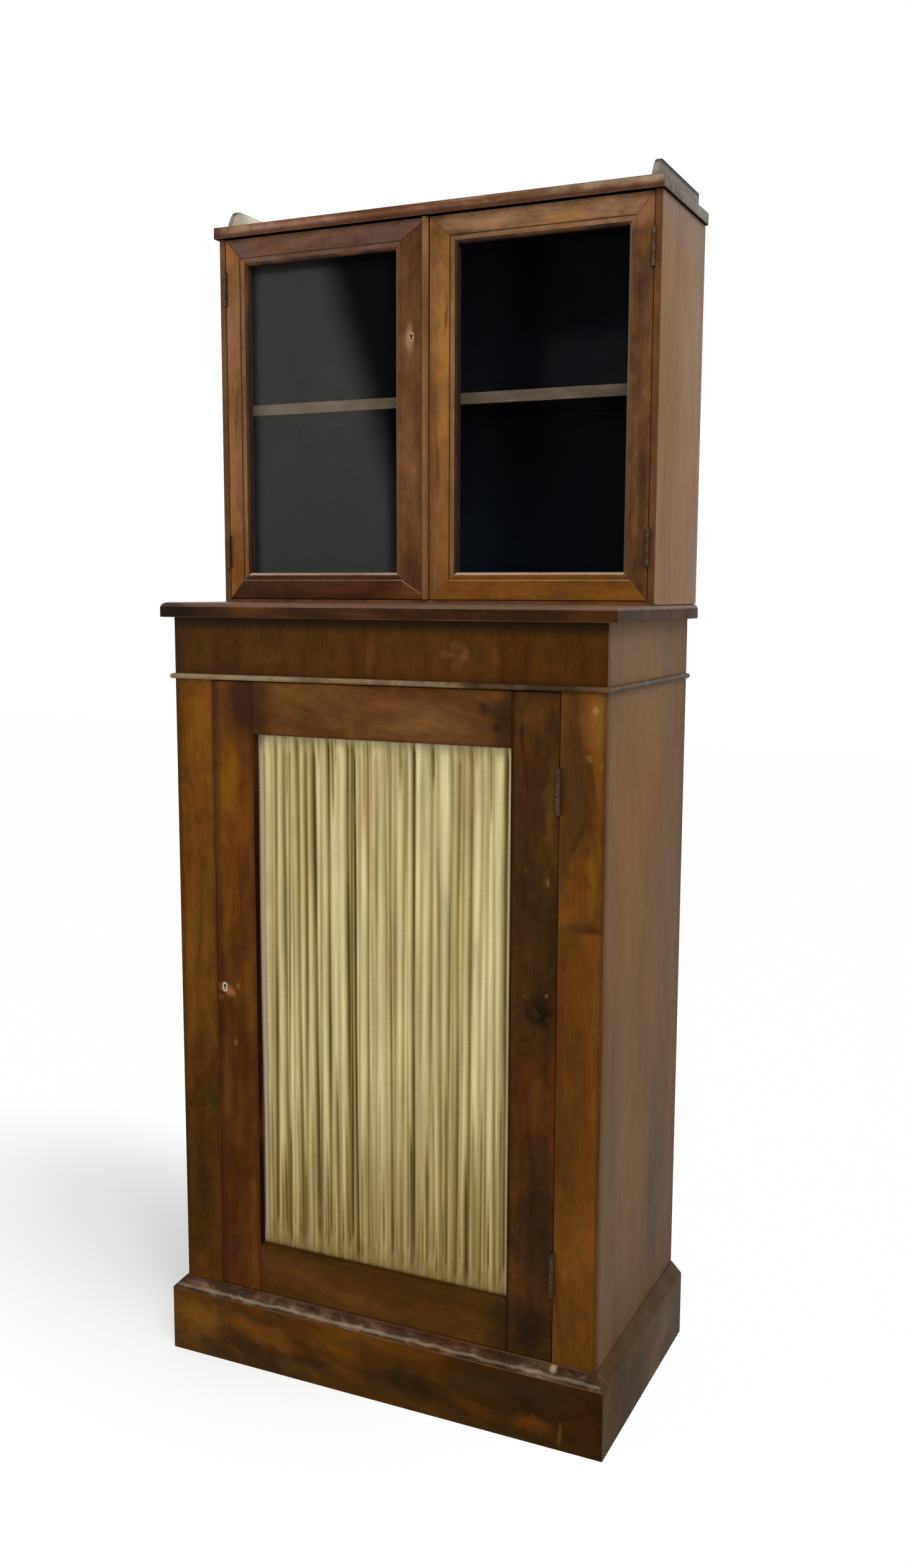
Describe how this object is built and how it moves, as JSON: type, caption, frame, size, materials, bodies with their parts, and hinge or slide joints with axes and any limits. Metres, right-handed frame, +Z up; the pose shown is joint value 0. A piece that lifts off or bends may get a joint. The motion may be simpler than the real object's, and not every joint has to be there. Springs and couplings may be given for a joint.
{
  "type": "pier cabinet",
  "caption": "Tall narrow pier cabinet: glazed doors in a shallow upper stage over a deeper cupboard with a pleated silk door, on a plinth.",
  "frame": {"origin": "middle of the plinth's footprint, on the floor", "axes": "+Z up, +Y from the doors towards the wall, +X to the right as seen from in front"},
  "size_m": [0.722, 0.392, 1.788],
  "materials": {
    "veneer_front": "dark rosewood veneer, worn French polish",
    "veneer_side": "paler rosewood veneer, worn polish",
    "shelf_wood": "worn polish",
    "stained_inside": "stained, matt",
    "pine": "bare, aged",
    "silk": "pleated silk, soft sheen",
    "glass": "clear old glass",
    "brass": "aged, dull",
    "steel": "aged screw heads"
  },
  "bodies": {
    "carcass": {"lower_left_side": "veneer_side", "lower_right_side": "veneer_side", "lower_bottom_board": "stained_inside", "lower_back_board": "pine", "left_face_stile": "veneer_front", "right_face_stile": "veneer_front", "frieze_board": "veneer_front", "lower_top_board": "veneer_front", "plinth_front": "veneer_front", "plinth_left_return": "veneer_side", "plinth_right_return": "veneer_side", "frieze_bead": "veneer_front", "lower_shelves": "pine", "shelf_bearers": "pine", "lower_lock_keeper": "brass", "upper_left_side": "veneer_side", "upper_right_side": "veneer_side", "upper_bottom_board": "stained_inside", "upper_top_board": "veneer_front", "upper_back_board": "stained_inside", "upper_shelf": "shelf_wood", "gallery_left": "veneer_side", "gallery_right": "veneer_side", "gallery_back": "veneer_side", "hinge_frame_leaves": "brass", "hinge_pins": "brass", "carcass_hinge_screws": "steel"},
    "lower_door": {"lower_door_left_stile": "veneer_front", "lower_door_right_stile": "veneer_front", "lower_door_top_rail": "veneer_front", "lower_door_bottom_rail": "veneer_front", "silk_panel": "silk", "silk_board": "pine", "silk_beads": "stained_inside", "lower_lock_case": "brass", "lower_escutcheon": "brass", "lower_door_hinge_leaves": "brass", "lower_door_screws": "steel"},
    "lower_bolt": {"lower_lock_bolt": "brass"},
    "upper_left_door": {"left_door_outer_stile": "veneer_front", "left_door_meeting_stile": "veneer_front", "left_door_top_rail": "veneer_front", "left_door_bottom_rail": "veneer_front", "left_glass": "glass", "left_glazing_beads": "stained_inside", "meeting_bead": "veneer_front", "upper_lock_case": "brass", "upper_escutcheon": "brass", "left_door_hinge_leaves": "brass"},
    "upper_bolt": {"upper_lock_bolt": "brass"},
    "upper_right_door": {"right_door_meeting_stile": "veneer_front", "right_door_outer_stile": "veneer_front", "right_door_top_rail": "veneer_front", "right_door_bottom_rail": "veneer_front", "right_glass": "glass", "right_glazing_beads": "stained_inside", "right_door_hinge_leaves": "brass", "door_bolt_plates": "brass"},
    "top_edge_bolt": {"top_door_bolt": "brass"},
    "bottom_edge_bolt": {"bottom_door_bolt": "brass"}
  },
  "joints": [
    {"name": "lower_door_hinge", "type": "hinge", "parent": "carcass", "child": "lower_door", "pos_m": [0.2769, -0.1823, 0.5955], "axis": [0, 0, 1], "range_deg": [0, 170]},
    {"name": "upper_left_door_hinge", "type": "hinge", "parent": "carcass", "child": "upper_left_door", "pos_m": [-0.3444, -0.0253, 1.4656], "axis": [0, 0, -1], "range_deg": [0, 170]},
    {"name": "upper_right_door_hinge", "type": "hinge", "parent": "carcass", "child": "upper_right_door", "pos_m": [0.3444, -0.0253, 1.4656], "axis": [0, 0, 1], "range_deg": [0, 170]},
    {"name": "lower_bolt_slide", "type": "slide", "parent": "lower_door", "child": "lower_bolt", "axis": [-1, 0, 0], "range_m": [0, 0.008]},
    {"name": "upper_bolt_slide", "type": "slide", "parent": "upper_left_door", "child": "upper_bolt", "axis": [1, 0, 0], "range_m": [0, 0.005]},
    {"name": "top_edge_bolt_slide", "type": "slide", "parent": "upper_right_door", "child": "top_edge_bolt", "axis": [0, 0, 1], "range_m": [0, 0.0046]},
    {"name": "bottom_edge_bolt_slide", "type": "slide", "parent": "upper_right_door", "child": "bottom_edge_bolt", "axis": [0, 0, -1], "range_m": [0, 0.0046]}
  ]
}
